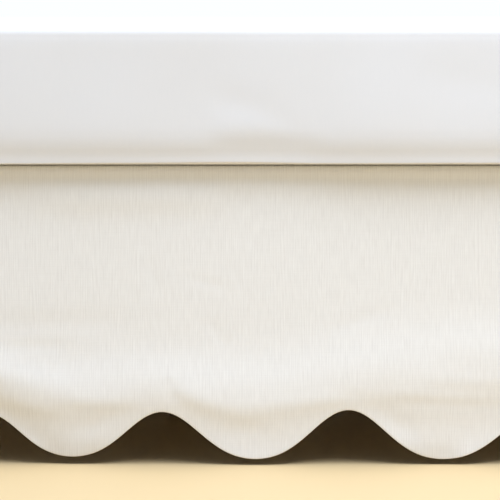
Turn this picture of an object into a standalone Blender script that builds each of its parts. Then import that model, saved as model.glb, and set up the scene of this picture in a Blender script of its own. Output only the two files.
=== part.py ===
"""A scalloped bed skirt fitted on a plain single bed.

The skirt is a flat deck, held between the foundation and the mattress, with three drops sewn to
its edges: one down each long side and one across the foot, parted at the foot corners. Each drop
lies over the foundation's rounded edge, hangs almost to the floor, carries one soft sideways fold
low down, and ends in round scallops. The head end of the bed is open.

Metres, +Z up. X runs from the head (-X) to the foot (+X). The origin is on the floor, under the
middle of the bed.
"""

import math

import bmesh
import bpy

# Foundation, the plain boxed base that the skirt is fitted on
BASE_LENGTH = 1.880
BASE_WIDTH = 0.955
BASE_HEIGHT = 0.195
BASE_TOP = 0.377
BASE_CORNER = 0.030
BASE_EDGE = 0.012

# Mattress
MATTRESS_LENGTH = 1.905
MATTRESS_WIDTH = 0.990
MATTRESS_CORNER = 0.065

# Legs
LEG_TOP_RADIUS = 0.029
LEG_FOOT_RADIUS = 0.020
LEG_INSET = 0.070
LEG_SIDES = 16
LEG_ROUNDING = 0.002

# Cloth, and how it lies on the foundation
CLOTH = 0.002
SEAT = 0.0003
EDGE_CLEARANCE = 0.002
RETURN = 0.014
BEND_RADIUS = 0.010
DROP_TOP = BASE_TOP + SEAT + CLOTH / 2

# Scalloped hem: a cosine wave whose notches are pinched narrower than its lobes
SIDE_LOBES = 8
FOOT_LOBES = 4
HEM_CLEARANCE = 0.0070
HEM_LIFT = 0.0018
SCALLOP_DEPTH = 0.0585
SCALLOP_DEPTH_VARIES = 0.0045
SCALLOP_PINCH = 0.0034
UNEVEN_WAVE = 1.30

# Sideways sway of the hem where the cloth hangs gathered, as a share of a lobe
HEM_SWAY = 0.053
HEM_SWAY_REPEAT = 0.75
HEM_SWAY_PLACE = -0.25

# Soft sideways fold, a rounded ridge that wanders up and down along the drop
RIDGE_HEIGHT = 0.108
RIDGE_REACH = 0.0064
RIDGE_HALF_BREADTH = 0.0270
RIDGE_BREADTH_VARIES = 0.0080
RIDGE_SLOW_RISE = 0.0205
RIDGE_SLOW_WAVE = 1.00
RIDGE_SLOW_PHASE = -1.915
RIDGE_QUICK_RISE = 0.0046
RIDGE_QUICK_WAVE = 0.28
RIDGE_QUICK_PHASE = 1.65

# Slight outward kick of the lobes, of the parted corners, and of the whole drop
LOBE_KICK = 0.0025
LOBE_KICK_HEIGHT = 0.060
CORNER_KICK = 0.0040
CORNER_KICK_BREADTH = 0.045
DROP_BOW = 0.0012
DROP_BOW_WAVE = 0.61

# Where the left and foot drops fall on the wandering of the fold and hem, against the right drop
LEFT_COURSE = 0.37
FOOT_COURSE = 0.81

# Mesh steps
COLUMNS_PER_LOBE = 8
COLUMN_CROWDING = 0.45
RETURN_ROWS = 1
BEND_ROWS = 3
PLAIN_ROWS = 3
FOLD_ROWS = 9
PLAIN_SHARE = 0.52
CORNER_STEPS = 5

# Sections of the mattress: height above its underside, and how far it stands out
MATTRESS_SECTIONS = [
    {"height": 0.0000, "out": -0.0100},
    {"height": 0.0010, "out": 0.0020},
    {"height": 0.0040, "out": 0.0036},
    {"height": 0.0130, "out": 0.0048},
    {"height": 0.0240, "out": 0.0067},
    {"height": 0.0360, "out": 0.0076},
    {"height": 0.0600, "out": 0.0078},
    {"height": 0.1000, "out": 0.0078},
    {"height": 0.1430, "out": 0.0080},
    {"height": 0.1560, "out": 0.0079},
    {"height": 0.1640, "out": 0.0065},
    {"height": 0.1700, "out": 0.0032},
    {"height": 0.1760, "out": -0.0035},
    {"height": 0.1820, "out": -0.0135},
    {"height": 0.1865, "out": -0.0250},
    {"height": 0.1890, "out": -0.0365},
    {"height": 0.1900, "out": -0.0480},
]

COLOURS = {
    "linen": (0.82, 0.79, 0.73, 1.0),
    "deck_cotton": (0.84, 0.83, 0.80, 1.0),
    "mattress_cover": (0.85, 0.85, 0.86, 1.0),
    "foundation_ticking": (0.70, 0.67, 0.61, 1.0),
    "leg_wood": (0.36, 0.22, 0.12, 1.0),
}
ROUGHNESS = {
    "linen": 0.90,
    "deck_cotton": 0.90,
    "mattress_cover": 0.85,
    "foundation_ticking": 0.90,
    "leg_wood": 0.45,
}


def clear_scene():
    """Removes whatever the scene holds."""
    for obj in list(bpy.data.objects):
        bpy.data.objects.remove(obj, do_unlink=True)


def make_material(name):
    """A Principled material in the piece's own colour and roughness."""
    material = bpy.data.materials.new(name)
    material.use_nodes = True
    shader = material.node_tree.nodes["Principled BSDF"]
    shader.inputs["Base Color"].default_value = COLOURS[name]
    shader.inputs["Roughness"].default_value = ROUGHNESS[name]
    shader.inputs["Metallic"].default_value = 0.0
    return material


def add_object(name, bm, material, collection):
    """Turns the bmesh into a named, smooth-shaded object in the collection."""
    bmesh.ops.recalc_face_normals(bm, faces=bm.faces[:])
    mesh = bpy.data.meshes.new(name)
    bm.to_mesh(mesh)
    bm.free()
    mesh.shade_smooth()
    mesh.set_sharp_from_angle(angle=math.radians(40))
    mesh.materials.append(material)
    obj = bpy.data.objects.new(name, mesh)
    collection.objects.link(obj)
    return obj


def rounded_box(name, length, width, corner, sections, material, collection):
    """A solid stacked from rounded rectangles: one for each section, offset evenly from the outline."""
    bm = bmesh.new()
    bmesh.ops.create_grid(bm, x_segments=1, y_segments=1, size=0.5)
    bmesh.ops.scale(bm, vec=(length, width, 1.0), verts=bm.verts[:])
    bmesh.ops.bevel(
        bm,
        geom=bm.verts[:],
        offset=corner,
        offset_type="OFFSET",
        segments=CORNER_STEPS,
        profile=0.5,
        affect="VERTICES",
    )
    centre_x = length / 2 - corner
    centre_y = width / 2 - corner

    def place(verts, section):
        for vert in verts:
            middle_x = math.copysign(centre_x, vert.co.x)
            middle_y = math.copysign(centre_y, vert.co.y)
            across = math.atan2(vert.co.y - middle_y, vert.co.x - middle_x)
            reach = corner + section["out"]
            vert.co.x = middle_x + reach * math.cos(across)
            vert.co.y = middle_y + reach * math.sin(across)
            vert.co.z = section["height"]

    place(bm.verts[:], sections[0])
    top = bm.faces[:]
    underside = top[0]
    for section in sections[1:]:
        grown = bmesh.ops.extrude_face_region(bm, geom=top)["geom"]
        covered = [face for face in top if face.is_valid and face is not underside]
        bmesh.ops.delete(bm, geom=covered, context="FACES_ONLY")
        top = [item for item in grown if isinstance(item, bmesh.types.BMFace)]
        place([item for item in grown if isinstance(item, bmesh.types.BMVert)], section)
    return add_object(name, bm, material, collection)


def foundation_sections():
    """The foundation's sections: a small chamfer below, straight sides, a quarter round above."""
    sections = [
        {"height": 0.0, "out": -0.004},
        {"height": 0.004, "out": 0.0},
    ]
    for step in range(CORNER_STEPS + 1):
        turn = math.pi / 2 * step / CORNER_STEPS
        sections.append(
            {
                "height": BASE_HEIGHT - BASE_EDGE * (1 - math.sin(turn)),
                "out": -BASE_EDGE * (1 - math.cos(turn)),
            }
        )
    return sections


def make_foundation(material, collection):
    """The boxed base, with its underside at the height that the legs reach."""
    base = rounded_box(
        "bed_foundation", BASE_LENGTH, BASE_WIDTH, BASE_CORNER, foundation_sections(), material, collection
    )
    base.location.z = BASE_TOP - BASE_HEIGHT
    return base


def make_mattress(material, collection):
    """The mattress, crowned at its sides, with a narrow ridge round its lower edge."""
    mattress = rounded_box(
        "mattress", MATTRESS_LENGTH, MATTRESS_WIDTH, MATTRESS_CORNER, MATTRESS_SECTIONS, material, collection
    )
    mattress.location.z = BASE_TOP + SEAT + CLOTH + SEAT
    return mattress


def make_leg(name, x, y, material, collection):
    """A tapered round leg, standing on the floor and ending just under the foundation."""
    height = BASE_TOP - BASE_HEIGHT - SEAT
    bm = bmesh.new()
    bmesh.ops.create_cone(
        bm,
        cap_ends=True,
        segments=LEG_SIDES,
        radius1=LEG_FOOT_RADIUS,
        radius2=LEG_TOP_RADIUS,
        depth=height,
    )
    leg = add_object(name, bm, material, collection)
    leg.location = (x, y, height / 2)
    rounding = leg.modifiers.new("rounding", "BEVEL")
    rounding.width = LEG_ROUNDING
    rounding.segments = 1
    rounding.limit_method = "ANGLE"
    rounding.angle_limit = math.radians(60)
    return leg


def make_legs(material, collection):
    """Four corner legs and one under the middle of the foundation."""
    x = BASE_LENGTH / 2 - LEG_INSET
    y = BASE_WIDTH / 2 - LEG_INSET
    places = {
        "leg_head_left": (-x, y),
        "leg_head_right": (-x, -y),
        "leg_foot_left": (x, y),
        "leg_foot_right": (x, -y),
        "leg_middle": (0.0, 0.0),
    }
    for name, (leg_x, leg_y) in places.items():
        make_leg(name, leg_x, leg_y, material, collection)


def make_deck(material, collection):
    """The flat deck that lies on the foundation, inside the drops' seams."""
    inner = RETURN + SEAT
    head = -BASE_LENGTH / 2 + RETURN
    foot = BASE_LENGTH / 2 - inner
    width = BASE_WIDTH - 2 * inner
    bm = bmesh.new()
    bmesh.ops.create_cube(bm, size=1.0)
    bmesh.ops.scale(bm, vec=(foot - head, width, CLOTH), verts=bm.verts[:])
    deck = add_object("skirt_deck", bm, material, collection)
    deck.location = ((head + foot) / 2, 0.0, DROP_TOP)
    return deck


def wave(station, length, phase=0.0):
    """A sine wave along the drop, from -1 to 1."""
    return math.sin(2 * math.pi * station / length + phase)


def hem_height(along, station):
    """Height of the hem above the floor; along counts lobes, whole at the notches before the sway."""
    sway = HEM_SWAY * math.cos(math.pi * (station - HEM_SWAY_PLACE) / HEM_SWAY_REPEAT) ** 8
    turn = 2 * math.pi * (along + sway)
    uneven = wave(station, UNEVEN_WAVE)
    depth = SCALLOP_DEPTH + SCALLOP_DEPTH_VARIES * uneven
    lift = HEM_CLEARANCE + HEM_LIFT * (1 - uneven)
    pinch = SCALLOP_PINCH * (math.cos(2 * turn) - 1)
    return lift + depth / 2 * (1 + math.cos(turn)) + pinch


def outward(station, height, drop, to_end):
    """How far the cloth stands out from its plain hanging place."""
    ridge = (
        RIDGE_HEIGHT
        + RIDGE_SLOW_RISE * wave(station, RIDGE_SLOW_WAVE, RIDGE_SLOW_PHASE)
        + RIDGE_QUICK_RISE * wave(station, RIDGE_QUICK_WAVE, RIDGE_QUICK_PHASE)
    )
    half_breadth = RIDGE_HALF_BREADTH + RIDGE_BREADTH_VARIES * wave(station, UNEVEN_WAVE)
    fold = RIDGE_REACH * math.exp(-(((height - ridge) / half_breadth) ** 2) / 2)
    kick = LOBE_KICK * max(0.0, 1 - height / LOBE_KICK_HEIGHT) ** 2
    corner = CORNER_KICK * drop**2 * math.exp(-to_end / CORNER_KICK_BREADTH)
    bow = DROP_BOW * drop * (1 + wave(station, DROP_BOW_WAVE))
    return fold + kick + corner + bow


def drop_path(row):
    """Place of a row before folds: (how far out from the foundation's edge, height, share of the drop)."""
    hang = EDGE_CLEARANCE + CLOTH / 2
    if row <= RETURN_ROWS:
        inner, outer = -RETURN, hang - BEND_RADIUS
        return inner + (outer - inner) * row / RETURN_ROWS, DROP_TOP, 0.0
    row -= RETURN_ROWS
    if row <= BEND_ROWS:
        turn = math.pi / 2 * row / BEND_ROWS
        return (
            hang - BEND_RADIUS * (1 - math.sin(turn)),
            DROP_TOP - BEND_RADIUS * (1 - math.cos(turn)),
            0.0,
        )
    row -= BEND_ROWS
    if row <= PLAIN_ROWS:
        return hang, DROP_TOP - BEND_RADIUS, PLAIN_SHARE * row / PLAIN_ROWS
    row -= PLAIN_ROWS
    return hang, DROP_TOP - BEND_RADIUS, PLAIN_SHARE + (1 - PLAIN_SHARE) * row / FOLD_ROWS


def crowded(share):
    """Moves a column's place within its lobe towards the lobe's foot and the notch, which curve most."""
    return share - COLUMN_CROWDING / (4 * math.pi) * math.sin(4 * math.pi * share)


def make_drop(name, lobes, start, end, mitre_start, mitre_end, course, material, collection):
    """One drop in its own frame: X along it, +Y outward from the foundation's edge, Z up.

    course gives, from a place along the drop, where it falls on the wandering of fold and hem.
    """
    columns = lobes * COLUMNS_PER_LOBE
    rows = RETURN_ROWS + BEND_ROWS + PLAIN_ROWS + FOLD_ROWS
    bm = bmesh.new()
    bmesh.ops.create_grid(bm, x_segments=columns, y_segments=rows, size=1.0)
    for vert in bm.verts:
        column = round((vert.co.x + 1) / 2 * columns)
        row = round((1 - vert.co.y) / 2 * rows)
        lobe, place = divmod(column, COLUMNS_PER_LOBE)
        along = lobe + crowded(place / COLUMNS_PER_LOBE)
        out, top, drop = drop_path(row)
        inside = max(0.0, EDGE_CLEARANCE + CLOTH / 2 - out)
        row_start = start + inside * mitre_start
        row_end = end - inside * mitre_end
        station = row_start + (row_end - row_start) * along / lobes
        height = top - drop * (top - hem_height(along, course(station)))
        if drop > 0:
            out += outward(course(station), height, drop, min(station - start, end - station))
        vert.co = (station, out, height)
    panel = add_object(name, bm, material, collection)
    thickness = panel.modifiers.new("thickness", "SOLIDIFY")
    thickness.thickness = CLOTH
    thickness.offset = 0.0
    thickness.use_even_offset = True
    return panel


def make_drops(material, collection):
    """The three drops, each turned to face out from its edge of the foundation."""
    head = BASE_LENGTH / 2
    foot = BASE_LENGTH / 2 + EDGE_CLEARANCE - SEAT
    side = BASE_WIDTH / 2 + EDGE_CLEARANCE - SEAT
    right = make_drop(
        "skirt_drop_right",
        SIDE_LOBES,
        -foot,
        head,
        True,
        False,
        lambda x: -x,
        material,
        collection,
    )
    right.location = (0.0, -BASE_WIDTH / 2, 0.0)
    right.rotation_euler.z = math.pi
    left = make_drop(
        "skirt_drop_left",
        SIDE_LOBES,
        -head,
        foot,
        False,
        True,
        lambda x: x + LEFT_COURSE,
        material,
        collection,
    )
    left.location = (0.0, BASE_WIDTH / 2, 0.0)
    foot_drop = make_drop(
        "skirt_drop_foot",
        FOOT_LOBES,
        -side,
        side,
        True,
        True,
        lambda x: x + FOOT_COURSE,
        material,
        collection,
    )
    foot_drop.location = (BASE_LENGTH / 2, 0.0, 0.0)
    foot_drop.rotation_euler.z = -math.pi / 2


def main():
    clear_scene()
    collection = bpy.data.collections.new("bed_skirt_on_bed")
    bpy.context.scene.collection.children.link(collection)
    materials = {name: make_material(name) for name in COLOURS}
    make_foundation(materials["foundation_ticking"], collection)
    make_legs(materials["leg_wood"], collection)
    make_deck(materials["deck_cotton"], collection)
    make_drops(materials["linen"], collection)
    make_mattress(materials["mattress_cover"], collection)


main()
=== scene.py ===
"""Looks of a scalloped bed skirt on a plain single bed.

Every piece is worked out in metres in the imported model's own frame: X runs from the head (-X) to
the foot (+X) of the bed, +Z is up, and the floor is at height 0. The three linen drops repeat the
solids' folds and add the small creases, the mattress and the foundation are profiles carried round
a rounded outline, and the legs are turned.
"""

import logging
import math
from collections.abc import Callable
from dataclasses import dataclass, field
from enum import Enum

import bmesh
import bpy
import numpy as np
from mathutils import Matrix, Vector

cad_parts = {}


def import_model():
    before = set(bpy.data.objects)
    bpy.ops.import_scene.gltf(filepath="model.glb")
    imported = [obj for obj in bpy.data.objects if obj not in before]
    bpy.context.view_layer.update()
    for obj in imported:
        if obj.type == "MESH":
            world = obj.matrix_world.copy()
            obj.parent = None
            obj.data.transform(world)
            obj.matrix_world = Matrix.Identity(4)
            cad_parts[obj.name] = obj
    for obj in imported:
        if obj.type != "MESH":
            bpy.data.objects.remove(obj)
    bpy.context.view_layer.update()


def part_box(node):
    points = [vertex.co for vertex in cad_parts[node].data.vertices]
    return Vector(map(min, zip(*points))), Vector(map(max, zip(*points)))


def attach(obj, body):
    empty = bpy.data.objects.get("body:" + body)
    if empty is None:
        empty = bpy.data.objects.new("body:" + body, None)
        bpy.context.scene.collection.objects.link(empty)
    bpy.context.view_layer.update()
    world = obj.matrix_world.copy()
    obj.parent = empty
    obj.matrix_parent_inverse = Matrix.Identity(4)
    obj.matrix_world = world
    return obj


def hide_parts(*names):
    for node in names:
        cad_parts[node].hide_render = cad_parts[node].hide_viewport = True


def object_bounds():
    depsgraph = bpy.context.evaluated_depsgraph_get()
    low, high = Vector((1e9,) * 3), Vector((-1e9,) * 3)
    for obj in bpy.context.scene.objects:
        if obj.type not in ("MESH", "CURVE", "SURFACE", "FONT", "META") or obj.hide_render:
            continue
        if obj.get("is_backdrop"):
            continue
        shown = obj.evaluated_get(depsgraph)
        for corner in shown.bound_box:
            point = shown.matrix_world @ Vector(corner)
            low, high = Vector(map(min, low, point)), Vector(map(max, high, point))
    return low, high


LOG = logging.getLogger("bed_skirt")
BODY = "root"
CLOTH_UV = "cloth"

# Thickness of the skirt's cloth, and the gap that touching pieces keep
CLOTH = 0.0020
SEAT = 0.0003

# Places of the rows and columns that round a sheet's rim, as shares of the rim's radius
RIM_SHARES = np.array([0.0, 0.08, 0.30, 0.62])

# Moves of an upholstered form: from length round or how far out, height, x and y, and from share, x and y
SideMove = Callable[[np.ndarray, np.ndarray, np.ndarray, np.ndarray], np.ndarray]
TopMove = Callable[[np.ndarray, np.ndarray, np.ndarray], np.ndarray]

# What may be fed to a shader's socket
Source = bpy.types.NodeSocket | float | tuple[float, ...]


def wave(place: np.ndarray, length: float, phase: float = 0.0) -> np.ndarray:
    """A sine wave along a piece, from -1 to 1.

    Args:
        place: place along the piece, in metres.
        length: length of one whole wave, in metres.
        phase: where the wave begins, in radians.

    Returns:
        The wave at each place.
    """
    return np.sin(2 * math.pi * place / length + phase)


def smooth_through(points: np.ndarray, steps: int) -> np.ndarray:
    """A smooth curve through a short list of points.

    Between two points the curve is the Catmull-Rom cubic: it leaves each point parallel to the
    line between that point's two neighbours.

    Args:
        points: the points, one to a row.
        steps: how many pieces each gap is cut into.

    Returns:
        The points of the curve, one to a row.
    """
    ends = np.vstack([2 * points[:1] - points[1:2], points, 2 * points[-1:] - points[-2:-1]])
    before, first, second, after = ends[:-3], ends[1:-2], ends[2:-1], ends[3:]
    t = np.linspace(0.0, 1.0, steps, endpoint=False)[None, :, None]
    before, first, second, after = (side[:, None, :] for side in (before, first, second, after))
    curve = 0.5 * (
        2 * first
        + (second - before) * t
        + (2 * before - 5 * first + 4 * second - after) * t**2
        + (3 * first - before - 3 * second + after) * t**3
    )
    return np.vstack([curve.reshape(-1, points.shape[1]), points[-1:]])


def add_mesh(
    name: str,
    points: np.ndarray,
    faces: np.ndarray,
    corner_uv: np.ndarray | None = None,
    weld: bool = False,
) -> bpy.types.Object:
    """Puts computed arrays into a smooth-shaded object at the origin.

    Args:
        name: the piece's name.
        points: the points, one to a row, in metres.
        faces: the point numbers of each four-sided face.
        corner_uv: the place on the cloth of each face corner, in face order.
        weld: whether points that fall together are merged, which closes poles and seams.

    Returns:
        The new object.
    """
    mesh = bpy.data.meshes.new(name)
    mesh.from_pydata(points.reshape(-1, 3).tolist(), [], faces.tolist())
    if corner_uv is not None:
        layer = mesh.uv_layers.new(name=CLOTH_UV)
        layer.data.foreach_set("uv", np.ascontiguousarray(corner_uv, dtype=np.float32).ravel())
    if weld:
        shape = bmesh.new()
        shape.from_mesh(mesh)
        bmesh.ops.remove_doubles(shape, verts=shape.verts[:], dist=1e-6)
        shape.to_mesh(mesh)
        shape.free()
    mesh.shade_smooth()
    piece = bpy.data.objects.new(name, mesh)
    bpy.context.scene.collection.objects.link(piece)
    return piece


def dress(piece: bpy.types.Object, material: bpy.types.Material, node: str) -> None:
    """Gives a piece its finish, hangs it on the body's empty and hides the solid that it replaces.

    Args:
        piece: the piece.
        material: its finish.
        node: the solid that the piece replaces.
    """
    piece.data.materials.append(material)
    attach(piece, BODY)
    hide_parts(node)
    LOG.info("%s: %d faces", piece.name, len(piece.data.polygons))


def grid_faces(rows: int, columns: int) -> np.ndarray:
    """The four-sided faces of a grid of points, numbered row by row.

    Args:
        rows: how many rows of points.
        columns: how many points in a row.

    Returns:
        The point numbers of each face.
    """
    numbers = np.arange(rows * columns).reshape(rows, columns)
    corners = (numbers[:-1, :-1], numbers[:-1, 1:], numbers[1:, 1:], numbers[1:, :-1])
    return np.stack([corner.ravel() for corner in corners], axis=1)


def closed_sheet(name: str, centre: np.ndarray, thickness: np.ndarray, uv: np.ndarray) -> bpy.types.Object:
    """A thin sheet of cloth with two skins that meet at its border.

    Each skin is the centre surface moved by half the thickness along the surface's normal, which
    is the cross product of its steps along a row and down a column. The thickness is nothing on
    the border, so both skins use the same points there.

    Args:
        name: the piece's name.
        centre: the centre surface, rows by columns by 3.
        thickness: the thickness at each of its points.
        uv: the place on the cloth of each of its points, in metres.

    Returns:
        The new object.
    """
    rows, columns = thickness.shape
    normal = np.cross(np.gradient(centre, axis=1), np.gradient(centre, axis=0))
    normal /= np.linalg.norm(normal, axis=2, keepdims=True)
    half = thickness[:, :, None] / 2 * normal
    front = np.arange(rows * columns).reshape(rows, columns)
    back = front + rows * columns
    border = np.ones((rows, columns), dtype=bool)
    border[1:-1, 1:-1] = False
    back = np.where(border, front, back)
    faces = grid_faces(rows, columns)
    both = np.vstack([front.ravel()[faces], back.ravel()[faces][:, ::-1]])
    used, both = np.unique(both, return_inverse=True)
    both = both.reshape(-1, 4)
    points = np.concatenate([(centre + half).reshape(-1, 3), (centre - half).reshape(-1, 3)])[used]
    places = np.concatenate([uv.reshape(-1, 2)] * 2)[used]
    return add_mesh(name, points, both, places[both])


def rim_share(distance: np.ndarray, radius: float) -> np.ndarray:
    """How full a sheet's thickness is at a distance from its border: a quarter circle to its radius.

    Args:
        distance: distance from the border, in metres.
        radius: the rim's radius, in metres.

    Returns:
        The share of the full thickness, from 0 to 1.
    """
    return np.sqrt(1 - (1 - np.clip(distance / radius, 0.0, 1.0)) ** 2)


class CreaseForm(Enum):
    """The shape of a crease across its line."""

    RIDGE = "ridge"
    LIP = "lip"


@dataclass(frozen=True)
class Crease:
    """A soft crease along a gently bowed line on an upright wall.

    Attributes:
        start: place along the wall and height of one end, in metres.
        end: the same of the other end.
        rise: how far it stands out, in metres, negative for a trough.
        breadth: half its width, in metres.
        bow: how far its middle lies above the straight line, in metres.
        form: a ridge, or a lip that stands out above its line and lies back below it.
    """

    start: tuple[float, float]
    end: tuple[float, float]
    rise: float
    breadth: float
    bow: float = 0.0
    form: CreaseForm = CreaseForm.RIDGE

    def relief(self, along: np.ndarray, height: np.ndarray) -> np.ndarray:
        """How far the crease moves each point outwards.

        Across its line a ridge is a bell curve and a lip is that curve's slope, both one at their
        highest. Along the line the crease fades to nothing at both ends by the square of one less
        the fourth power of the distance from its middle.

        Args:
            along: place along the wall.
            height: height above the floor.

        Returns:
            The outward move, in metres.
        """
        run = np.subtract(self.end, self.start)
        length = float(np.hypot(*run))
        step_along, step_up = run / length
        from_start, above_start = along - self.start[0], height - self.start[1]
        share = np.clip((from_start * step_along + above_start * step_up) / length, 0.0, 1.0)
        across = above_start * step_along - from_start * step_up
        across = across - self.bow * 4 * share * (1 - share)
        if step_along < 0:
            across = -across
        across = across / self.breadth
        fade = (1 - (2 * share - 1) ** 4) ** 2
        bell = np.exp(-(across**2) / 2)
        if self.form is CreaseForm.LIP:
            bell = across * bell * math.exp(0.5)
        return self.rise * fade * bell


@dataclass(frozen=True)
class ScallopedHem:
    """The lower edge of a drop: a cosine wave whose notches are pinched narrower than its lobes."""

    clearance: float = 0.0070
    lift: float = 0.0018
    depth: float = 0.0585
    depth_varies: float = 0.0045
    pinch: float = 0.0034
    uneven_wave: float = 1.30
    sway: float = 0.053
    sway_repeat: float = 0.75
    sway_place: float = -0.25

    def height(self, lobes: np.ndarray, course: np.ndarray) -> np.ndarray:
        """Height of the hem above the floor.

        Half the depth times one plus the cosine of a turn for each lobe, over a lift that wanders,
        less a pinch that follows the double turn. The turn runs ahead by the sway where the cloth
        hangs gathered, by the eighth power of a cosine.

        Args:
            lobes: place along the drop in lobes, whole at the notches before the sway.
            course: place on the wandering of fold and hem, in metres.

        Returns:
            The height, in metres.
        """
        gathered = np.cos(math.pi * (course - self.sway_place) / self.sway_repeat) ** 8
        turn = 2 * math.pi * (lobes + self.sway * gathered)
        uneven = wave(course, self.uneven_wave)
        depth = self.depth + self.depth_varies * uneven
        lift = self.clearance + self.lift * (1 - uneven)
        return lift + depth / 2 * (1 + np.cos(turn)) + self.pinch * (np.cos(2 * turn) - 1)


@dataclass(frozen=True)
class SoftFold:
    """The rounded sideways ridge that wanders up and down low on each drop."""

    height: float = 0.108
    reach: float = 0.0064
    half_breadth: float = 0.0270
    breadth_varies: float = 0.0080
    breadth_wave: float = 1.30
    slow_rise: float = 0.0205
    slow_wave: float = 1.00
    slow_phase: float = -1.915
    quick_rise: float = 0.0046
    quick_wave: float = 0.28
    quick_phase: float = 1.65

    def relief(self, course: np.ndarray, height: np.ndarray) -> np.ndarray:
        """How far the ridge stands out: a bell curve round a line that is the sum of two waves.

        Args:
            course: place on the wandering of fold and hem.
            height: height above the floor.

        Returns:
            The outward move, in metres.
        """
        ridge = (
            self.height
            + self.slow_rise * wave(course, self.slow_wave, self.slow_phase)
            + self.quick_rise * wave(course, self.quick_wave, self.quick_phase)
        )
        half_breadth = self.half_breadth + self.breadth_varies * wave(course, self.breadth_wave)
        return self.reach * np.exp(-(((height - ridge) / half_breadth) ** 2) / 2)


@dataclass(frozen=True)
class Looseness:
    """How the hanging cloth leaves its plain place: lobes and corners kick out, and the whole bows."""

    lobe_kick: float = 0.0025
    lobe_kick_height: float = 0.060
    corner_kick: float = 0.0040
    corner_kick_breadth: float = 0.045
    bow: float = 0.0012
    bow_wave: float = 0.61

    def relief(
        self, course: np.ndarray, height: np.ndarray, drop: np.ndarray, to_end: np.ndarray
    ) -> np.ndarray:
        """How far the cloth stands out, beside its folds.

        The lobes follow a square law below their kick height, the corners an exponential from the
        end of the drop, and the bow a wave that grows with the drop.

        Args:
            course: place on the wandering of fold and hem.
            height: height above the floor.
            drop: share of the way down, from 0 to 1.
            to_end: distance to the nearer end of the drop.

        Returns:
            The outward move, in metres.
        """
        kick = self.lobe_kick * np.clip(1 - height / self.lobe_kick_height, 0.0, None) ** 2
        corner = self.corner_kick * drop**2 * np.exp(-to_end / self.corner_kick_breadth)
        return kick + corner + self.bow * drop * (1 + wave(course, self.bow_wave))


class Side(Enum):
    """The sides of the bed that carry a drop."""

    RIGHT = "right"
    LEFT = "left"
    FOOT = "foot"


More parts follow.
